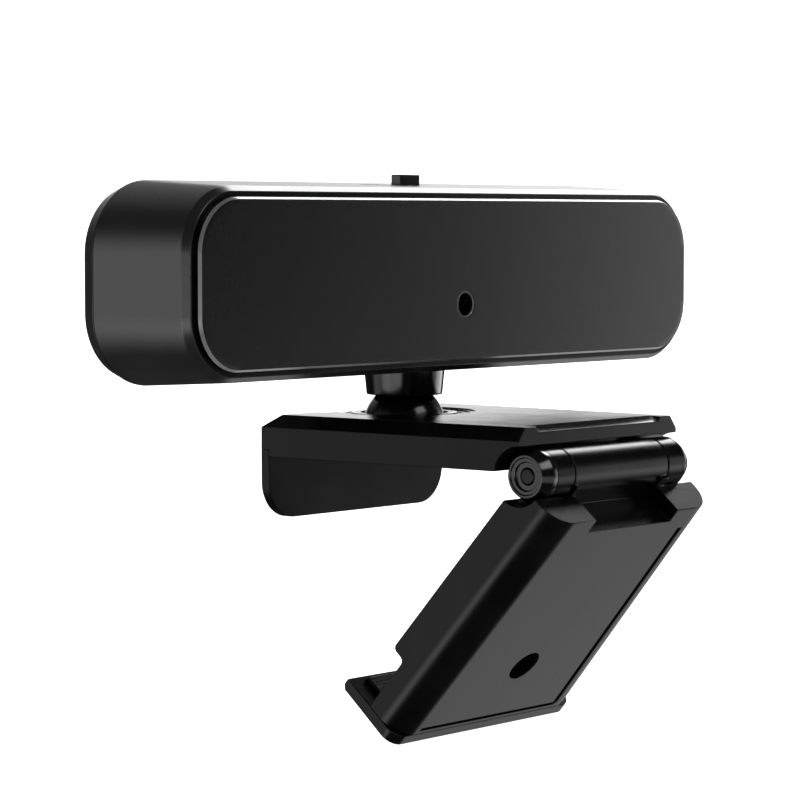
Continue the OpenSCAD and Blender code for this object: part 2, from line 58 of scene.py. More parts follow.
HEAD = Vector((0, -11.7, 25.6))  # middle of the front panel's face
PANEL_W, PANEL_H, PANEL_R = 110.0, 23.3, 7.5
PANEL_T, PANEL_SEAT = 1.78, 1.8
HOUSING_END, COVER_START, HEAD_DEPTH = 17.7, 17.79, 20.3  # depths behind the panel's face
HEAD_GROW = 2.4  # how far the head's side stands out past the panel's edge
LENS_DROP = 3.6
HEAD_SCREW_X, HEAD_SCREW_Z = 50, 7.6
CABLE_INLET = HEAD + Vector((0, 0, -2.5))
BALL_R, BALL_HEIGHT = 6.05, 4.1

ARM_H = 6.1
ARM_FRONT, ARM_BACK = -35.85, 10.5
ARM_HALF_FRONT, ARM_HALF_BACK = 18.4, 19.7
ARM_SIDE_WALL, ARM_BACK_WALL, ARM_HOLLOW_FRONT = 1.8, 2.0, -29
ARM_COVER_GAP = 0.08
RECESS_R, RECESS_FLOOR = 10.5, 5.93
HUB_BORE_R = 8.05

HINGE = Vector((0, -35.75, -0.6))
BARREL_R = 3.75
ARM_CLEAR_R, LEG_CLEAR_R = 4.15, 4.0  # room around the barrel in the arm and in the leg
ARM_KNUCKLES = ((-14.35, -10.6), (11.6, 15.2))
LEG_KNUCKLE = (-10.3, 11.3)
PAST_HINGE = Vector((25, 0, 0))  # from the middle of the hinge to past its end

LEG_ANGLE = -49.7
LEG = Matrix.Translation(HINGE) @ Matrix.Rotation(math.radians(LEG_ANGLE), 4, "X")
LEG_START, LEG_END = 0.3, 41.6
LEG_HALF_START, LEG_HALF_END = 18.3, 20.45
LEG_OUTER = -9.05  # level of the leg's outer face, seen from the hinge axis
LEG_WALL, LEG_HOLLOW_START, LEG_HOLLOW_END = 1.7, 7, 40
LEG_COVER_GAP = 0.1
TRIPOD_X, TRIPOD_Y = -0.8, 30.2
TRIPOD_R = 2.6
SCREW_SEAT_R = 1.6
PAST_SIDE = 30  # from the middle of the clip to past its side

VIEW_AZIMUTH, VIEW_ELEVATION, VIEW_DISTANCE = -49.63, 3.44, 433.6
VIEW_AIM = Vector((-7.0, -5.1, 8.2))

# ---------------------------------------------------------------- camera


def make_camera():
    """Long lens that looks at the lens side of the head from the left."""
    azimuth, elevation = math.radians(VIEW_AZIMUTH), math.radians(VIEW_ELEVATION)
    data = bpy.data.cameras.new("camera")
    data.lens = 135.0
    data.clip_start = 0.01
    camera = bpy.data.objects.new("camera", data)
    COLLECTION.objects.link(camera)
    back = Vector((math.sin(azimuth) * math.cos(elevation),
                   -math.cos(azimuth) * math.cos(elevation),
                   math.sin(elevation)))
    camera.location = (VIEW_AIM + back * VIEW_DISTANCE) * MM
    camera.rotation_euler = (-back).to_track_quat("-Z", "Y").to_euler()
    bpy.context.scene.camera = camera


make_camera()

# ---------------------------------------------------------------- outlines


def circle(radius, steps):
    """Points of a circle about the origin."""
    return [(radius * math.cos(2 * math.pi * i / steps), radius * math.sin(2 * math.pi * i / steps))
            for i in range(steps)]


def arc(centre, radius, start, end, steps):
    """Points of an arc from one angle to another in degrees, both ends included."""
    angles = [math.radians(start + (end - start) * i / steps) for i in range(steps + 1)]
    return [(centre[0] + radius * math.cos(a), centre[1] + radius * math.sin(a)) for a in angles]


def rounded_rect(w, h, r, steps=20):
    """Rectangle about the origin with round corners."""
    points = []
    for sx, sy, start in ((1, 1, 0), (-1, 1, 90), (-1, -1, 180), (1, -1, 270)):
        points += arc((sx * (w / 2 - r), sy * (h / 2 - r)), r, start, start + 90, steps)
    return points


def round_bottom(half, top, bottom, r, steps):
    """Rectangle with its two lower corners rounded."""
    return ([(half, top), (-half, top)] + arc((r - half, bottom + r), r, 180, 270, steps)
            + arc((half - r, bottom + r), r, 270, 360, steps))


def taper(half_start, half_end, start, end, inset):
    """Four corners of a strip along Y whose half width changes from one end to the other."""
    a, b = half_start - inset, half_end - inset
    return [(-a, start), (a, start), (b, end), (-b, end)]


def fillet(points, radii, steps=4):
    """Round the corners of a path. Each point is (a, b, ...): the first two are its place."""
    out = []
    for i, (p, r) in enumerate(zip(points, radii)):
        if r <= 0 or i in (0, len(points) - 1):
            out.append(tuple(p))
            continue
        here = Vector(p[:2])
        to_prev = Vector(points[i - 1][:2]) - here
        to_next = Vector(points[i + 1][:2]) - here
        angle = to_prev.angle(to_next)
        reach = min(r / math.tan(angle / 2), 0.48 * to_prev.length, 0.48 * to_next.length)
        start, end = here + to_prev.normalized() * reach, here + to_next.normalized() * reach
        for k in range(steps + 1):
            t = k / steps
            spot = (1 - t) ** 2 * start + 2 * t * (1 - t) * here + t ** 2 * end
            out.append((spot.x, spot.y) + tuple(p[2:]))
    return out


def ring_fillet(points, radii, steps=4):
    """The same for a closed path; one radius may serve every corner."""
    if isinstance(radii, (int, float)):
        radii = [radii] * len(points)
    wrapped = [points[-1]] + list(points) + [points[0]]
    rounded = fillet(wrapped, [0] + list(radii) + [0], steps)
    return rounded[1:-1]


# ---------------------------------------------------------------- mesh helpers


def new_object(name, bm):
    """Object from a bmesh drawn in millimetres."""
    bmesh.ops.recalc_face_normals(bm, faces=bm.faces)
    bmesh.ops.scale(bm, vec=(MM, MM, MM), verts=bm.verts)
    mesh = bpy.data.meshes.new(name)
    bm.to_mesh(mesh)
    bm.free()
    obj = bpy.data.objects.new(name, mesh)
    COLLECTION.objects.link(obj)
    return obj


def loft(name, loops, closed=False):
    """Skin over loops of equal length, with end caps; closed joins the last loop to the first."""
    bm = bmesh.new()
    rings = [[bm.verts.new(p) for p in loop] for loop in loops]
    pairs = list(zip(rings, rings[1:]))
    if closed:
        pairs.append((rings[-1], rings[0]))
    for a, b in pairs:
        n = len(a)
        for i in range(n):
            bm.faces.new((a[i], a[(i + 1) % n], b[(i + 1) % n], b[i]))
    if not closed:
        bm.faces.new(list(reversed(rings[0])))
        bm.faces.new(rings[-1])
    return new_object(name, bm)


def lathe(name, profile, origin=(0, 0, 0), axis="Z", steps=96):
    """Turn a closed profile of (radius, height) about an axis; a radius of 0 makes a pole."""
    bm = bmesh.new()
    turn = {"Z": Matrix.Identity(3),
            "Y": Matrix.Rotation(math.radians(-90), 3, "X"),
            "X": Matrix.Rotation(math.radians(90), 3, "Y"),
            "-X": Matrix.Rotation(math.radians(-90), 3, "Y")}[axis]
    rings = []
    for r, h in profile:
        spots = circle(r, steps) if r > 1e-6 else [(0, 0)]
        rings.append([bm.verts.new(turn @ Vector((x, y, h)) + Vector(origin)) for x, y in spots])
    for a, b in zip(rings, rings[1:] + rings[:1]):
        if len(a) == 1 and len(b) == 1:
            continue
        for i in range(steps):
            j = (i + 1) % steps
            if len(a) == 1:
                bm.faces.new((a[0], b[j], b[i]))
            elif len(b) == 1:
                bm.faces.new((a[i], a[j], b[0]))
            else:
                bm.faces.new((a[i], a[j], b[j], b[i]))
    return new_object(name, bm)


def head_loop(grow, y, extra=0.0):
    """Outline of the head grown from the panel's edge, at depth y behind its face.

    extra makes the corners rounder by so much.
    """
    outline = rounded_rect(PANEL_W + 2 * grow, PANEL_H + 2 * grow, PANEL_R + grow + extra)
    return [HEAD + Vector((x, y, z)) for x, z in outline]


def lens_loop(radius, y):
    """Circle about the lens axis with as many points as head_loop."""
    count = len(rounded_rect(PANEL_W, PANEL_H, PANEL_R))
    loop = []
    for i in range(count):
        a = 2 * math.pi * (i + 0.5) / count
        loop.append(HEAD + Vector((radius * math.cos(a), y, -LENS_DROP + radius * math.sin(a))))
    return loop


def prism(name, outline, low, high, axis="Z", matrix=None):
    """Extrude an outline between two heights along an axis."""
    place = {"Z": lambda a, b, h: (a, b, h), "Y": lambda a, b, h: (a, h, b),
             "X": lambda a, b, h: (h, a, b)}[axis]
    loops = [[Vector(place(a, b, h)) for a, b in outline] for h in (low, high)]
    if matrix is not None:
        loops = [[matrix @ p for p in loop] for loop in loops]
    return loft(name, loops)


def rod(name, radius, start, end, steps=64):
    """Cylinder between two points, for cutting and joining."""
    start, end = Vector(start), Vector(end)
    along = end - start
    turn = along.to_track_quat("Z", "Y").to_matrix()
    loops = [[start + turn @ Vector((x, y, h)) for x, y in circle(radius, steps)]
             for h in (0, along.length)]
    return loft(name, loops)


def block(name, low, high, matrix=None):
    """Box between two opposite corners."""
    (x0, y0, z0), (x1, y1, z1) = low, high
    return prism(name, [(x0, y0), (x1, y0), (x1, y1), (x0, y1)], z0, z1, matrix=matrix)


def combine(base, tool, how):
    """Boolean that uses up the tool."""
    mod = base.modifiers.new("combine", "BOOLEAN")
    mod.object = tool
    mod.operation = how
    mod.solver = "EXACT"
    graph = bpy.context.evaluated_depsgraph_get()
    mesh = bpy.data.meshes.new_from_object(base.evaluated_get(graph))
    base.modifiers.clear()
    bm = bmesh.new()
    bm.from_mesh(mesh)
    bmesh.ops.remove_doubles(bm, verts=bm.verts, dist=2e-6)
    bmesh.ops.dissolve_limit(bm, angle_limit=math.radians(0.4), verts=bm.verts, edges=bm.edges)
    bm.to_mesh(mesh)
    bm.free()
    base.data = mesh
    bpy.data.objects.remove(tool)


def cut(base, tool):
    """Take the tool away from the base."""
    combine(base, tool, "DIFFERENCE")


def join(base, tool):
    """Add the tool to the base."""
    combine(base, tool, "UNION")


def soften(obj, width=0.0, angle=32.0, segments=3):
    """Fine rounded edges and even shading."""
    bm = bmesh.new()
    bm.from_mesh(obj.data)
    for face in bm.faces:
        face.smooth = True
    for edge in bm.edges:
        edge.smooth = not edge.is_manifold or edge.calc_face_angle(0) < math.radians(angle)
    bm.to_mesh(obj.data)
    bm.free()
    if width:
        mod = obj.modifiers.new("edges", "BEVEL")
        mod.width = width * MM
        mod.segments = segments
        mod.limit_method = "ANGLE"
        mod.angle_limit = math.radians(angle)
        mod.use_clamp_overlap = False
    mod = obj.modifiers.new("shading", "WEIGHTED_NORMAL")
    mod.keep_sharp = True
    mod.weight = 60


def piece(obj, body, material, slot, *nodes):
    """Give an object its material, the body it rides on and the nodes it replaces; slot is not used."""
    obj.data.materials.clear()
    obj.data.materials.append(material)
    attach(obj, body)
    if nodes:
        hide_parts(*nodes)


def paint(obj, material, chosen):
    """Second material on the faces that a test picks."""
    obj.data.materials.append(material)
    for p in obj.data.polygons:
        if chosen(p):
            p.material_index = 1


# ---------------------------------------------------------------- materials


class Nodes:
    """Shorthand for a material's node tree. Sizes are in millimetres."""

    def __init__(self, name):
        self.mat = bpy.data.materials.new(name)
        self.mat.use_nodes = True
        self.tree = self.mat.node_tree
        self.shader = self.tree.nodes["Principled BSDF"]
        self.coord = self.tree.nodes.new("ShaderNodeTexCoord").outputs["Object"]

    def link(self, a, b):
        self.tree.links.new(a, b)

    def noise(self, size, detail=2.0, rough=0.5, coord=None):
        node = self.tree.nodes.new("ShaderNodeTexNoise")
        node.inputs["Scale"].default_value = 1.0 / (size * MM)
        node.inputs["Detail"].default_value = detail
        node.inputs["Roughness"].default_value = rough
        self.link(coord or self.coord, node.inputs["Vector"])
        return node.outputs["Fac"]

    def cells(self, size):
        node = self.tree.nodes.new("ShaderNodeTexVoronoi")
        node.inputs["Scale"].default_value = 1.0 / (size * MM)
        self.link(self.coord, node.inputs["Vector"])
        return node.outputs["Distance"]

    def stretch(self, scale):
        node = self.tree.nodes.new("ShaderNodeMapping")
        node.inputs["Scale"].default_value = scale
        self.link(self.coord, node.inputs["Vector"])
        return node.outputs["Vector"]

    def remap(self, value, low, high, to_low, to_high, smooth=False):
        node = self.tree.nodes.new("ShaderNodeMapRange")
        node.interpolation_type = "SMOOTHSTEP" if smooth else "LINEAR"
        for i, v in enumerate((low, high, to_low, to_high)):
            node.inputs[i + 1].default_value = v
        self.link(value, node.inputs[0])
        return node.outputs[0]

    def math(self, how, a, b):
        node = self.tree.nodes.new("ShaderNodeMath")
        node.operation = how
        for i, v in enumerate((a, b)):
            if isinstance(v, (int, float)):
                node.inputs[i].default_value = v
            else:
                self.link(v, node.inputs[i])
        return node.outputs[0]

    def mix(self, fac, a, b):
        node = self.tree.nodes.new("ShaderNodeMix")
        node.data_type = "RGBA"
        self.link(fac, node.inputs[0])
        node.inputs[6].default_value = (*a, 1)
        node.inputs[7].default_value = (*b, 1)
        return node.outputs[2]

    def bump(self, height, strength, distance):
        node = self.tree.nodes.new("ShaderNodeBump")
        node.inputs["Strength"].default_value = strength
        node.inputs["Distance"].default_value = distance * MM
        self.link(height, node.inputs["Height"])
        return node.outputs["Normal"]


def moulded(name, dark, light, rough, spread, grain=0.12, bump=0.25, depth=0.004, level=0.5):
    """Moulded or polished surface: fine grain, soft tone and gloss variation."""
    n = Nodes(name)
    fine = n.noise(grain, 3.0, 0.6)
    broad = n.noise(6.0, 2.0)
    n.link(n.mix(n.remap(broad, 0.35, 0.65, 0, 1, True), dark, light), n.shader.inputs["Base Color"])
    gloss = n.math("ADD", n.remap(broad, 0.3, 0.7, rough - spread, rough + spread),
                   n.remap(fine, 0.3, 0.7, -spread, spread))
    n.link(gloss, n.shader.inputs["Roughness"])
    n.link(n.bump(fine, bump, depth), n.shader.inputs["Normal"])
    n.shader.inputs["Specular IOR Level"].default_value = level
    return n.mat


def panel_material():
    """Matt lacquer with a fine metallic sparkle."""
    n = Nodes("panel lacquer")
    chosen = n.math("LESS_THAN", n.cells(0.22), 0.22)
    rare = n.remap(n.noise(0.21, 0.0), 0.56, 0.68, 0, 1, True)
    spark = n.math("MULTIPLY", chosen, rare)
    fine = n.noise(0.09, 2.0)
    n.link(n.mix(spark, (0.0035, 0.0035, 0.0037), (0.045, 0.045, 0.047)), n.shader.inputs["Base Color"])
    n.link(n.remap(fine, 0.3, 0.7, 0.17, 0.23), n.shader.inputs["Roughness"])
    n.link(n.bump(fine, 0.3, 0.003), n.shader.inputs["Normal"])
    return n.mat


def steel_material(name, dark, light, rough):
    """Metal with fine streaks."""
    n = Nodes(name)
    brushed = n.noise(0.6, 4.0, 0.7, n.stretch((1, 1, 14)))
    n.link(n.mix(brushed, dark, light), n.shader.inputs["Base Color"])
    n.shader.inputs["Metallic"].default_value = 1.0
    n.link(n.remap(brushed, 0.2, 0.8, rough - 0.06, rough + 0.08), n.shader.inputs["Roughness"])
    n.link(n.bump(brushed, 0.15, 0.003), n.shader.inputs["Normal"])
    return n.mat


def board_material():
    """Green solder mask with raised lines."""
    n = Nodes("solder mask")
    line = n.remap(n.cells(1.4), 0.48, 0.52, 0, 1, True)
    n.link(n.mix(line, (0.006, 0.05, 0.022), (0.01, 0.09, 0.04)), n.shader.inputs["Base Color"])
    n.link(n.remap(n.noise(0.4), 0.3, 0.7, 0.25, 0.4), n.shader.inputs["Roughness"])
    n.link(n.bump(line, 0.4, 0.02), n.shader.inputs["Normal"])
    return n.mat


def lens_material():
    """Dark glass whose coating shifts to violet at the edge."""
    n = Nodes("coated lens")
    facing = n.tree.nodes.new("ShaderNodeLayerWeight")
    facing.inputs["Blend"].default_value = 0.35
    n.link(n.mix(facing.outputs["Facing"], (0.004, 0.006, 0.014), (0.03, 0.012, 0.05)),
           n.shader.inputs["Base Color"])
    n.link(n.remap(n.noise(2.0), 0.3, 0.7, 0.03, 0.06), n.shader.inputs["Roughness"])
    n.shader.inputs["Coat Weight"].default_value = 1.0
    n.shader.inputs["Coat Roughness"].default_value = 0.02
    return n.mat


SHELL = moulded("satin black plastic", (0.007, 0.007, 0.0073), (0.009, 0.009, 0.0094), 0.3, 0.02,
                grain=0.16, bump=0.2, depth=0.002, level=1.0)
CLIP_BLACK = moulded("fine black plastic", (0.0015, 0.0015, 0.0016), (0.0025, 0.0025, 0.0026), 0.2, 0.015,
                     grain=0.2, bump=0.1, depth=0.002, level=0.2)
LEG_BLACK = moulded("clip leg plastic", (0.0015, 0.0015, 0.0016), (0.0025, 0.0025, 0.0026), 0.25, 0.015,
                    grain=0.2, bump=0.12, depth=0.002, level=0.25)
GLOSS = moulded("black chrome", (0.002, 0.002, 0.002), (0.003, 0.003, 0.003), 0.12, 0.01,
                grain=0.5, bump=0.03, depth=0.002, level=0.5)
CAP = moulded("hinge cap", (0.002, 0.002, 0.002), (0.003, 0.003, 0.003), 0.14, 0.01,
              grain=0.5, bump=0.03, depth=0.002, level=0.8)
BALL_COAT = moulded("ball coating", (0.0015, 0.0015, 0.0015), (0.0025, 0.0025, 0.0025), 0.16, 0.01,
                    grain=0.5, bump=0.03, depth=0.002, level=0.6)
INNER = moulded("inner plastic", (0.012, 0.012, 0.0125), (0.016, 0.016, 0.0165), 0.3, 0.02)
PANEL = panel_material()
# Polished edge material whose grey base colour, far lighter than the black lacquer, is a painted
# highlight.
RIM_PAINTED_HIGHLIGHT = moulded("polished rim with painted highlight", (0.11, 0.11, 0.11), (0.13, 0.13, 0.13), 0.22, 0.01,
              grain=0.3, bump=0.05, depth=0.002, level=1.0)
STEEL = steel_material("zinc plated steel", (0.42, 0.43, 0.45), (0.62, 0.63, 0.65), 0.28)
BLACK_STEEL = steel_material("black oxide steel", (0.02, 0.02, 0.021), (0.045, 0.045, 0.047), 0.34)
RUBBER = moulded("rubber", (0.005, 0.005, 0.005), (0.008, 0.008, 0.008), 0.6, 0.05,
                 grain=0.25, bump=0.5, depth=0.01)
NYLON = moulded("natural nylon", (0.6, 0.58, 0.5), (0.68, 0.66, 0.58), 0.42, 0.03)
BOARD = board_material()
CHIP = moulded("sensor glass", (0.02, 0.025, 0.045), (0.03, 0.035, 0.06), 0.12, 0.02)
LENS = lens_material()

# ---------------------------------------------------------------- head

# Paths here are (how far out from the panel's edge, depth behind its face, extra corner radius).


def make_panel():
    """Front panel: a bevelled plate with the lens hole through it."""
    path = fillet([(-0.9, PANEL_T), (-0.5, PANEL_T), (-0.45, 0.75), (0, 0.62), (0, 0.42), (-0.29, 0),
                   (-1.2, 0)],
                  [0, 0.05, 0.15, 0.04, 0.06, 0.05, 0], 4)
    loops = [head_loop(g, y) for g, y in path]
    hole = fillet([(2.2, 0), (1.82, 0), (1.65, 0.16), (1.65, PANEL_T), (3.0, PANEL_T)],
                  [0, 0.02, 0.03, 0.05, 0], 3)
    loops += [lens_loop(r, y) for r, y in hole]
    panel = loft("front_panel", loops, closed=True)
    soften(panel)
    piece(panel, "head", PANEL, "panel_plastic", "front_panel")
    # The front chamfer round the panel's edge and the lens hole's countersink get the grey rim material: a
    # painted highlight along these edges.
    paint(panel, RIM_PAINTED_HIGHLIGHT, lambda p: p.center.y < (HEAD.y + 0.45) * MM and abs(p.normal.y) < 0.98)


def make_housing():
    """Shell behind the panel, with the shutter's slot in its top."""
    inner_grow, front_wall, bore_r = 0.75, 3.0, 4.6
    outer = fillet([(0.04, PANEL_SEAT, 0), (0.04, 1.0, 0), (0.76, 1.0, 0), (1.5, 2.06, 0),
                    (HEAD_GROW, HOUSING_END, 0.2), (2.1, HOUSING_END, 0.2), (2.1, HOUSING_END + 0.06, 0.2),
                    (inner_grow, HOUSING_END + 0.06, 0.2)],
                   [0, 0.1, 0.22, 0.3, 0.16, 0, 0, 0], 5)
    loops = [head_loop(g, y, e) for g, y, e in outer]
    loops += [head_loop(inner_grow, y, 0.55) for y in (10.0, front_wall)]
    loops += [lens_loop(bore_r, front_wall), lens_loop(bore_r, PANEL_SEAT)]
    housing = loft("housing", loops, closed=True)
    slot = [(x - 4.0, y - 0.2) for x, y in rounded_rect(13.0, 2.4, 0.35, 5)]
    cut(housing, prism("slot", slot, 30, 42))
    soften(housing, 0.12, 40)
    piece(housing, "head", SHELL, "shell_plastic", "housing")
    # The forward-facing ledge just behind the panel's face gets the darker, less shiny arm plastic:
    # painted shade in the step between panel and housing.
    paint(housing, CLIP_BLACK, lambda p: p.normal.y < -0.98 and p.center.y < (HEAD.y + 1.2) * MM)


def make_rear_cover():
    """Back of the head with four screw seats and the hole for the cable inlet."""
    path = fillet([(0.5, COVER_START, 0.2), (HEAD_GROW, COVER_START, 0.2), (2.22, 18.2, 0.2),
                   (1.5, HEAD_DEPTH, 0.2), (0.3, HEAD_DEPTH, 0.2)],
                  [0, 0.1, 0.3, 0.3, 0], 6)
    loops = [head_loop(g, y, e) for g, y, e in path]
    cover = loft("rear_cover", loops)
    for x in (-HEAD_SCREW_X, HEAD_SCREW_X):
        for z in (-HEAD_SCREW_Z, HEAD_SCREW_Z):
            spot = HEAD + Vector((x, 0, z))
            cut(cover, rod("cut", 2.1, spot + Vector((0, 19.2, 0)), spot + Vector((0, 21, 0)), 48))
    start, end = (CABLE_INLET + Vector((0, y, 0)) for y in (18.3, 21))
    cut(cover, rod("cut", 3.22, start, end, 64))
    soften(cover, 0.14, 40)
    piece(cover, "head", SHELL, "shell_plastic", "rear_cover")


def make_gland():
    """Ribbed bush of the cable inlet."""
    ribs = [(3.15, 19.6), (3.15, 20.3), (2.95, 20.45), (3.05, 20.75), (2.85, 21.1)]
    profile = [(1.9, 17.6), (3.2, 17.6)] + ribs + [(2.4, 21.2), (2.0, 21.2), (1.9, 21.05)]
    gland = lathe("cable_gland", ring_fillet(profile, 0.1, 3), CABLE_INLET, "Y")
    soften(gland)
    piece(gland, "head", RUBBER, "rubber", "cable_gland")


# ---------------------------------------------------------------- neck and ball


def make_neck():
    """Tapered cup under the head, and the ball stud in it."""
    profile = [(4.3, 8.57), (5.58, 8.57), (5.94, 12.2), (4.3, 12.2)]
    cup = lathe("neck_cup", ring_fillet(profile, [0.12, 0.28, 0.1, 0.1], 5), axis="Z", steps=128)
    soften(cup)
    piece(cup, "head", GLOSS, "gloss_black", "neck_cup")
    profile = [(0, 2.6), (5.7, 2.6)] + arc((0, BALL_HEIGHT), BALL_R, -14, 74, 44)
    profile += [(1.5, 10.3), (1.5, 19.2), (1.3, 19.4), (0, 19.4)]
    ball = lathe("ball_stud", profile, steps=128)
    soften(ball)
    piece(ball, "head", BALL_COAT, "ball_metal", "ball_stud")


def make_swivel():
    """Disc that turns in the arm, and the collar on it, both with fine ring steps."""
    flange = [(8.0, 2.8), (8.0, 5.62), (9.2, 5.62), (9.2, 5.78), (8.62, 5.78), (8.58, 5.67), (8.06, 5.67),
              (7.92, 5.52), (7.0, 5.52), (7.0, 2.8)]
    hub = lathe("swivel_hub", ring_fillet(flange, 0.02, 3), steps=128)
    soften(hub)
    piece(hub, "swivel", CLIP_BLACK, "gloss_black", "swivel_hub")
    rim = [(6.72, 4.3), (7.2, 4.3), (7.2, 5.79), (7.8, 5.79), (7.8, 5.95), (7.15, 5.95), (7.1, 5.88),
           (6.9, 5.88), (6.85, 5.95), (6.5, 5.95)]
    collar = lathe("swivel_collar", ring_fillet(rim, 0.03, 3), steps=128)
    soften(collar)
    piece(collar, "swivel", GLOSS, "gloss_black", "swivel_collar")


# ---------------------------------------------------------------- clip arm


def arm_half(y):
    """Half width of the arm, which widens a little towards the lip."""
    way = (y - ARM_FRONT) / (ARM_BACK - ARM_FRONT)
    return ARM_HALF_FRONT + (ARM_HALF_BACK - ARM_HALF_FRONT) * way


def arm_outline(inset, back, front=ARM_FRONT):
    """Outline of the arm, moved in at the sides and at the back."""
    end = ARM_BACK - back
    return taper(arm_half(front), arm_half(end), front, end, inset)


def arm_relief():
    """Cutter for the finger relief: sloped floor, ends that sweep up in a curve."""
    half, sweep, deep, back, skim = 14.4, 1.0, 0.75, ARM_FRONT + 2.2, 0.02
    ends = [(-half, skim)]
    for i in range(1, 9):
        a = math.radians(90 * i / 8)
        ends.append((-half + sweep * (1 - math.cos(a)), -deep * math.sin(a)))
    loops = []
    for x, rise in ends + [(-x, rise) for x, rise in reversed(ends)]:
        loops.append([Vector((x, ARM_FRONT - 1, ARM_H + rise)), Vector((x, ARM_FRONT, ARM_H + rise)),
                      Vector((x, back, ARM_H + skim)), Vector((x, back, ARM_H + 1)),
                      Vector((x, ARM_FRONT - 1, ARM_H + 1))])
    return loft("cut", loops)


def make_arm():
    """Arm with its lip, the hinge's two outer knuckles and the stepped recess of the swivel."""
    loops = [[Vector((x, y, 0)) for x, y in arm_outline(0, 0)],
             [Vector((x, y, ARM_H - 1.8)) for x, y in arm_outline(0, 0)],
             [Vector((x, y, ARM_H)) for x, y in arm_outline(1.5, 2.7)]]
    arm = loft("arm_shell", loops)
    cut(arm, rod("cut", ARM_CLEAR_R, HINGE - PAST_HINGE, HINGE + PAST_HINGE, 128))
    hollow = arm_outline(ARM_SIDE_WALL, ARM_BACK_WALL, ARM_HOLLOW_FRONT)
    cut(arm, prism("cut", hollow, -1, 3.6))
    join(arm, prism("add", round_bottom(19.69, 1.0, -9.1, 5.5, 16), ARM_BACK - 1.5, ARM_BACK, "Y"))
    for x0, x1 in ARM_KNUCKLES:
        join(arm, rod("add", BARREL_R, HINGE + Vector((x0, 0, 0)), HINGE + Vector((x1, 0, 0)), 128))
        low, high = Vector((x0 + 0.01, 0.5, 0.65)), Vector((x1 - 0.01, 5.5, 2.35))
        join(arm, block("add", HINGE + low, HINGE + high))
    recess = arc((0, 0), RECESS_R, 180, 360, 45) + [(RECESS_R, ARM_BACK + 1), (-RECESS_R, ARM_BACK + 1)]
    cut(arm, prism("cut", recess, RECESS_FLOOR, 8))
    for radius, floor in ((9.75, 5.76), (9.25, 5.6), (HUB_BORE_R, 1)):
        cut(arm, rod("cut", radius, (0, 0, floor), (0, 0, 8), 128))
    cut(arm, arm_relief())
    soften(arm, 0.09, 24)
    piece(arm, "clip", CLIP_BLACK, "shell_plastic", "arm_shell")


def make_arm_cover():
    """Plate that closes the arm from below, with the pad's pocket and four screw seats."""
    outline = arm_outline(ARM_SIDE_WALL + ARM_COVER_GAP, ARM_BACK_WALL + ARM_COVER_GAP,
                          ARM_HOLLOW_FRONT + ARM_COVER_GAP)
    cover = prism("arm_cover", outline, 0, 1.2)
    cut(cover, block("cut", (-11.35, -27.55, -1), (11.35, 8.05, 0.62)))
    for x, y in ((13.4, -26.5), (-13.4, -26.5), (15, 4.5), (-15, 4.5)):
        cut(cover, rod("cut", SCREW_SEAT_R, (x, y, -1), (x, y, 0.7), 40))
    soften(cover, 0.08, 35)
    piece(cover, "clip", LEG_BLACK, "shell_plastic", "arm_cover")


def make_seat_pad():
    """Rubber pad with fine ribs across its underside."""
    start, end, thick, count = -27.5, 8.0, 0.6, 29
    pitch = (end - start - 1.2) / count
    outline = [(end, thick), (start, thick), (start, 0.02)]
    for i in range(count):
        at = start + 0.6 + i * pitch
        outline += [(at + 0.25 * pitch, 0.0), (at + 0.62 * pitch, 0.0), (at + 0.72 * pitch, 0.16),
                    (at + 0.95 * pitch, 0.16)]
    outline += [(end - 0.5, 0.0), (end, 0.02)]
    pad = prism("seat_pad", outline, -11.3, 11.3, "X")
    soften(pad, 0.05, 30, 2)
    piece(pad, "clip", RUBBER, "rubber", "seat_pad")


# ---------------------------------------------------------------- hinge


def make_caps():
    """Hinge end caps: long bevel, rim step and a recess around the pin's end."""
    bevel = 1.6
    for name, tip, length, axis in (("hinge_cap_left", -16.9, 2.5, "-X"),
                                    ("hinge_cap_right", 17.2, 1.95, "X")):
        start = tip - math.copysign(length, tip)
        profile = [(1.27, 0), (3.65, 0), (BARREL_R, 0.08), (BARREL_R, length - bevel), (2.95, length),
                   (2.62, length), (2.5, length - 0.22), (2.08, length - 0.22), (1.95, length - 0.3),
                   (1.95, length - 0.6), (1.27, length - 0.6)]
        radii = [0, 0.05, 0.05, 0.2, 0.1, 0.08, 0.08, 0.1, 0.1, 0.08, 0]
        cap = lathe(name, ring_fillet(profile, radii, 4), HINGE + Vector((start, 0, 0)), axis, 128)
        soften(cap)
        piece(cap, "clip", CAP, "ball_metal", name)


def make_pin():
    """Hinge pin with domed ends that show in the caps."""
    left, right = -16.45, 16.75
    length = right - left
    profile = [(0, 0), (0.95, 0), (1.25, 0.22), (1.25, length - 0.22), (0.95, length), (0, length)]
    rounded = fillet(profile, [0, 0.12, 0.1, 0.1, 0.12, 0], 3)
    pin = lathe("hinge_pin", rounded, HINGE + Vector((left, 0, 0)), "X")
    soften(pin)
    piece(pin, "clip", BLACK_STEEL, "steel", "hinge_pin")


# ---------------------------------------------------------------- leg


def leg_half(y):
    """Half width of the leg, which widens towards the foot."""
    way = (y - LEG_START) / (LEG_END - LEG_START)
    return LEG_HALF_START + (LEG_HALF_END - LEG_HALF_START) * way


def leg_section(y):
    """Section across the leg: flat inside, round outer corners."""
    return [LEG @ Vector((x, y, z)) for x, z in round_bottom(leg_half(y), -0.2, LEG_OUTER, 4.1, 24)]


def leg_outline(inset, start, end):
    """Outline of a stretch of the leg, moved in at the sides."""
    return taper(leg_half(start), leg_half(end), start, end, inset)


def step_outline():
    """Side view of what is cut from the rims by the foot: round shoulder, round inner corner."""
    shoulder = arc((31.8, -1.0), 0.8, 90, 0, 6)
    corner = arc((33.4, -1.9), 0.8, 180, 270, 6)
    return [(31.8, 1.0)] + shoulder + corner + [(48, -2.7), (48, 1.0)]


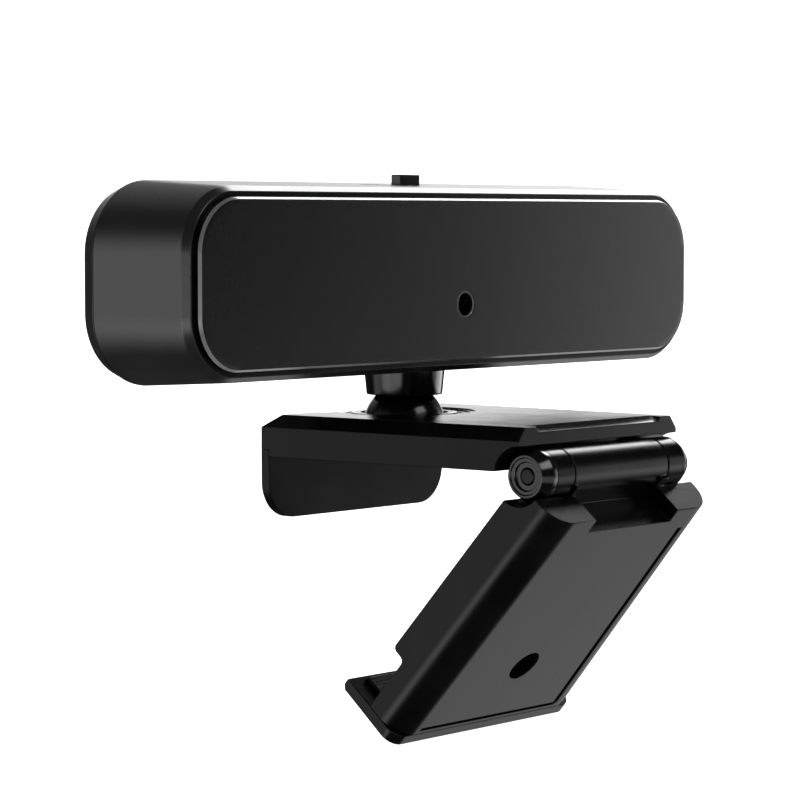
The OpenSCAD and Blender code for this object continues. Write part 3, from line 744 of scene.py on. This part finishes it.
def groove_outline():
    """Line along the foot, round the corner and up one side; wider on the side."""
    foot_w, side_w = 0.5, 0.85
    x, y = 14.6, 40.0
    bend = arc((0, 0), 1.0, 90, 0, 7)
    outer = [(x + a, y + b) for a, b in bend]
    inner = [(x + (1 - side_w) * a, y + (1 - foot_w) * b) for a, b in bend]
    outer = [(-15.6, y + 1)] + outer + [(14.0, 4.2)]
    inner = [(-15.6, y + 1 - foot_w)] + inner + [(14.0 - side_w, 4.2)]
    return outer + list(reversed(inner))


def make_leg():
    """Leg shell: middle knuckle with its web, outline groove and tripod hole."""
    leg = loft("leg_shell", [leg_section(LEG_START), leg_section(LEG_END)])
    cut(leg, prism("cut", step_outline(), -PAST_SIDE, PAST_SIDE, "X", LEG))
    cut(leg, rod("cut", LEG_CLEAR_R, HINGE - PAST_HINGE, HINGE + PAST_HINGE, 128))
    cut(leg, block("cut", (-9.6, -1, -12), (9.6, 2.5, 1), LEG))
    hollow = leg_outline(LEG_WALL, LEG_HOLLOW_START, LEG_HOLLOW_END)
    cut(leg, prism("cut", hollow, -7.35, 5, matrix=LEG))
    left, right = LEG_KNUCKLE
    join(leg, rod("add", BARREL_R, HINGE + Vector((left, 0, 0)), HINGE + Vector((right, 0, 0)), 128))
    join(leg, block("add", (-9.3, 0, -3.75), (9.3, 5, -0.6), LEG))
    for x0, x1 in ((left, -9.7), (9.7, right)):
        join(leg, block("add", (x0, -1.2, -4.2), (x1, 1.6, -3.4), LEG))
    cut(leg, prism("cut", groove_outline(), -11, -8.25, matrix=LEG))
    start, end = (LEG @ Vector((TRIPOD_X, TRIPOD_Y, z)) for z in (-11, -5))
    cut(leg, rod("cut", TRIPOD_R, start, end, 96))
    soften(leg, 0.1, 24)
    piece(leg, "leg", LEG_BLACK, "shell_plastic", "leg_shell")


def make_leg_cover():
    """Plate that closes the leg from inside, with four screw seats."""
    outline = leg_outline(LEG_WALL + LEG_COVER_GAP, LEG_HOLLOW_START + LEG_COVER_GAP,
                          LEG_HOLLOW_END - LEG_COVER_GAP)
    cover = prism("leg_cover", outline, -3.9, -2.7, matrix=LEG)
    for x, y in ((13, 10), (-13, 10), (14.5, 37), (-14.5, 37)):
        cut(cover, rod("cut", SCREW_SEAT_R, LEG @ Vector((x, y, -3.3)), LEG @ Vector((x, y, 0)), 40))
    soften(cover, 0.1, 35)
    piece(cover, "leg", LEG_BLACK, "shell_plastic", "leg_cover")


def make_insert():
    """Threaded socket: the crests of a 20 threads per inch screw thread, cut in a spiral."""
    steps, pitch, length, outer_r = 48, 1.27, 4.4, 4.2
    groove = [(TRIPOD_R, 0.0), (TRIPOD_R, 0.15), (3.12, 0.55), (3.12, 0.72), (TRIPOD_R, 1.12),
              (TRIPOD_R, pitch)]
    bm = bmesh.new()
    rings = []
    for i in range(int(length / pitch * steps) + 2):
        a = 2 * math.pi * i / steps
        lift = pitch * i / steps
        ring = []
        for r, h in groove:
            z = min(max(lift + h - pitch, 0.0), length)
            ring.append(bm.verts.new((r * math.cos(a), r * math.sin(a), z)))
        rings.append(ring)
    for a, b in zip(rings, rings[1:]):
        for j in range(len(groove) - 1):
            corners = [a[j], a[j + 1], b[j + 1], b[j]]
            if len({tuple(round(c, 6) for c in v.co) for v in corners}) == 4:
                bm.faces.new(corners)
    wall = [(TRIPOD_R, 0.0), (outer_r, 0.0), (outer_r, length), (TRIPOD_R, length)]
    rings = [[bm.verts.new((x, y, h)) for x, y in circle(r, steps)] for r, h in wall]
    for a, b in zip(rings, rings[1:]):
        for i in range(steps):
            bm.faces.new((a[i], a[(i + 1) % steps], b[(i + 1) % steps], b[i]))
    place = LEG @ Matrix.Translation((TRIPOD_X, TRIPOD_Y, -8.35))
    bmesh.ops.transform(bm, matrix=place, verts=bm.verts)
    insert = new_object("tripod_insert", bm)
    soften(insert)
    piece(insert, "leg", BLACK_STEEL, "black_steel", "tripod_insert")


def make_foot():
    """Foot plate with a chamfered tip and two screw seats."""
    foot = prism("foot_plate", round_bottom(20.4, 2.65, LEG_OUTER, 2.3, 12), 41.62, 43.3, "Y", LEG)
    chamfer = [(42.6, 2.75), (43.4, 1.95), (44.5, 1.95), (44.5, 4), (42.6, 4)]
    cut(foot, prism("cut", chamfer, -PAST_SIDE, PAST_SIDE, "X", LEG))
    for x in (-8, 8):
        start, end = (LEG @ Vector((x, y, -5.6)) for y in (42.5, 44))
        cut(foot, rod("cut", SCREW_SEAT_R, start, end, 40))
    soften(foot, 0.09, 32)
    piece(foot, "leg", LEG_BLACK, "shell_plastic", "foot_plate")


def make_foot_pad():
    """Rubber pad with ribs on the inner face of the foot."""
    outline = [(41.6, 2.0), (41.6, -1.9), (41.02, -1.9)]
    for i in range(6):
        z = -1.7 + i * 0.6
        outline += [(41.0, z + 0.05), (41.0, z + 0.45), (41.05, z + 0.5), (41.05, z + 0.55)]
    outline += [(41.02, 2.0)]
    pad = prism("foot_pad", outline, -17, 17, "X", LEG)
    soften(pad, 0.04, 30, 2)
    piece(pad, "leg", RUBBER, "rubber", "foot_pad")


make_panel()
make_housing()
make_rear_cover()
make_gland()
make_neck()
make_swivel()
make_arm()
make_arm_cover()
make_seat_pad()
make_caps()
make_pin()
make_leg()
make_leg_cover()
make_insert()
make_foot()
make_foot_pad()

# ---------------------------------------------------------------- CAD nodes that stay

# material and width of the rounded edges in millimetres, 0 for none
KEPT = {
    "head_screws": (STEEL, 0.08), "main_board": (BOARD, 0.08), "board_screws": (STEEL, 0.05),
    "image_sensor": (CHIP, 0.05), "lens_holder": (INNER, 0.1), "lens_barrel": (GLOSS, 0.06),
    "lens_glass": (LENS, 0), "shutter_guide": (INNER, 0.05), "privacy_shutter": (CAP, 0.24),
    "usb_header": (NYLON, 0.08), "neck_nut": (STEEL, 0.12), "ball_liner": (NYLON, 0.05),
    "swivel_ring": (STEEL, 0.04), "swivel_washer": (STEEL, 0.03), "arm_screws": (STEEL, 0.07),
    "hinge_washers": (STEEL, 0.04), "leg_screws": (STEEL, 0.06), "foot_screws": (BLACK_STEEL, 0.07),
}


def keep(obj, material, width):
    """Material, clean faces and fine edges for a node that keeps its CAD mesh."""
    obj.data.materials.clear()
    obj.data.materials.append(material)
    weld = obj.modifiers.new("weld", "WELD")
    weld.merge_threshold = 0.000001
    flat = obj.modifiers.new("flat", "DECIMATE")
    flat.decimate_type = "DISSOLVE"
    flat.angle_limit = math.radians(1)
    if width:
        edge = obj.modifiers.new("edges", "BEVEL")
        edge.width = width * MM
        edge.segments = 2
        edge.limit_method = "ANGLE"
        edge.angle_limit = math.radians(35)
    even = obj.modifiers.new("shading", "WEIGHTED_NORMAL")
    even.weight = 60


for name, (material, width) in KEPT.items():
    keep(NODES[name], material, width)

# ---------------------------------------------------------------- studio

AMBIENT = 0.03
# Strength, then azimuth (0 where the lens looks, positive towards +X) and elevation. Each of these
# two is a centre, a half width and a blur.
SOFTBOXES = (
    (0.85, (-126, 26, 16), (-8, 24, 30)),
    (2.4, (-110, 9, 10), (-22, 9, 10)),
    (2.0, (-80, 22, 10), (-12, 10, 8)),
    (0.9, (-42, 8, 6), (2, 9, 8)),
    (0.6, (2, 26, 14), (-12, 11, 10)),
    (1.45, (130, 24, 20), (7, 8, 6)),
    (0.3, (150, 40, 30), (35, 18, 20)),
    (8.0, (113, 17, 8), (33, 11, 8)),
    (1.4, (73, 18.5, 8), (-2, 14, 12)),
    (2.5, (78, 16, 6), (0, 10, 8)),
    (0.9, (52, 12, 10), (-15, 9, 8)),
    (2.6, (8, 17, 10), (44, 13, 10)),
    (0.8, (95, 22, 14), (-33, 14, 14)),
)


def pale_material():
    """Even white for the set, bright enough to hide its own shading."""
    n = Nodes("pale floor")
    n.shader.inputs["Base Color"].default_value = (0.9, 0.9, 0.9, 1)
    n.shader.inputs["Roughness"].default_value = 0.9
    n.shader.inputs["Specular IOR Level"].default_value = 0.0
    n.shader.inputs["Emission Color"].default_value = (1, 1, 1, 1)
    n.shader.inputs["Emission Strength"].default_value = 1.0
    return n.mat


def stage(name, bm):
    """Put a mesh drawn in metres on the set, out of the object's reflections."""
    mesh = bpy.data.meshes.new(name)
    bm.to_mesh(mesh)
    bm.free()
    obj = bpy.data.objects.new(name, mesh)
    COLLECTION.objects.link(obj)
    mesh.materials.append(PALE)
    obj.visible_glossy = False
    return obj


def make_floor():
    """A pale sweep: a floor that curves up into a backdrop."""
    low = cad_box[0][2] - 0.001
    half, near, far, bend = 2.2, 1.6, 0.9, 0.5
    turn = math.radians(-VIEW_AZIMUTH)
    away = Vector((math.sin(turn), math.cos(turn), 0))
    side = Vector((away.y, -away.x, 0))
    profile = [(-near, 0.0)] + arc((far, bend), bend, -90, -9, 9) + [(far + bend, 2.2)]
    bm = bmesh.new()
    rows = [[bm.verts.new(away * y + side * x + Vector((0, 0, low + z))) for y, z in profile]
            for x in (-half, half)]
    for i in range(len(profile) - 1):
        face = bm.faces.new((rows[0][i], rows[0][i + 1], rows[1][i + 1], rows[1][i]))
        face.smooth = True
    stage("sweep", bm)


def make_backdrop():
    """White surround that only the camera sees, for views past the edge of the sweep."""
    bm = bmesh.new()
    bmesh.ops.create_uvsphere(bm, u_segments=48, v_segments=24, radius=4.0)
    backdrop = stage("backdrop", bm)
    backdrop.visible_diffuse = False
    backdrop.visible_shadow = False


def make_overhead():
    """Broad soft light from above that leaves no highlight."""
    data = bpy.data.lights.new("overhead", "AREA")
    data.shape = "RECTANGLE"
    data.size, data.size_y = 1.6, 1.6
    data.energy = 8
    lamp = bpy.data.objects.new("overhead", data)
    COLLECTION.objects.link(lamp)
    lamp.location = (0.1, 0.1, 1.3)
    lamp.rotation_euler = (-lamp.location).to_track_quat("-Z", "Y").to_euler()
    lamp.visible_glossy = False


def make_world():
    """Soft studio surround made of blurred boxes of light."""
    world = bpy.data.worlds.new("studio")
    bpy.context.scene.world = world
    world.use_nodes = True
    tree = world.node_tree
    links, nodes = tree.links, tree.nodes

    def maths(how, *values):
        node = nodes.new("ShaderNodeMath")
        node.operation = how
        for i, v in enumerate(values):
            if isinstance(v, (int, float)):
                node.inputs[i].default_value = v
            else:
                links.new(v, node.inputs[i])
        return node.outputs[0]

    def edge(value, half, soft):
        node = nodes.new("ShaderNodeMapRange")
        node.interpolation_type = "SMOOTHSTEP"
        for i, v in enumerate((half - soft / 2, half + soft / 2, 1, 0)):
            node.inputs[i + 1].default_value = v
        links.new(value, node.inputs[0])
        return node.outputs[0]

    split = nodes.new("ShaderNodeSeparateXYZ")
    links.new(nodes.new("ShaderNodeTexCoord").outputs["Generated"], split.inputs[0])
    x, y, z = split.outputs
    turn = maths("DEGREES", maths("ARCTAN2", x, maths("MULTIPLY", y, -1.0)))
    rise = maths("DEGREES", maths("ARCSINE", z))
    total = AMBIENT
    for strength, (azimuth, half_a, soft_a), (elevation, half_e, soft_e) in SOFTBOXES:
        aside = maths("ABSOLUTE", maths("WRAP", maths("SUBTRACT", turn, azimuth), 180.0, -180.0))
        above = maths("ABSOLUTE", maths("SUBTRACT", rise, elevation))
        glow = maths("MULTIPLY", edge(aside, half_a, soft_a), edge(above, half_e, soft_e))
        total = maths("ADD", maths("MULTIPLY", glow, strength), total)
    links.new(total, nodes["Background"].inputs["Strength"])
    nodes["Background"].inputs["Color"].default_value = (1, 1, 1, 1)


PALE = pale_material()
make_floor()
make_backdrop()
make_world()
make_overhead()
bpy.context.scene.view_settings.view_transform = "Standard"
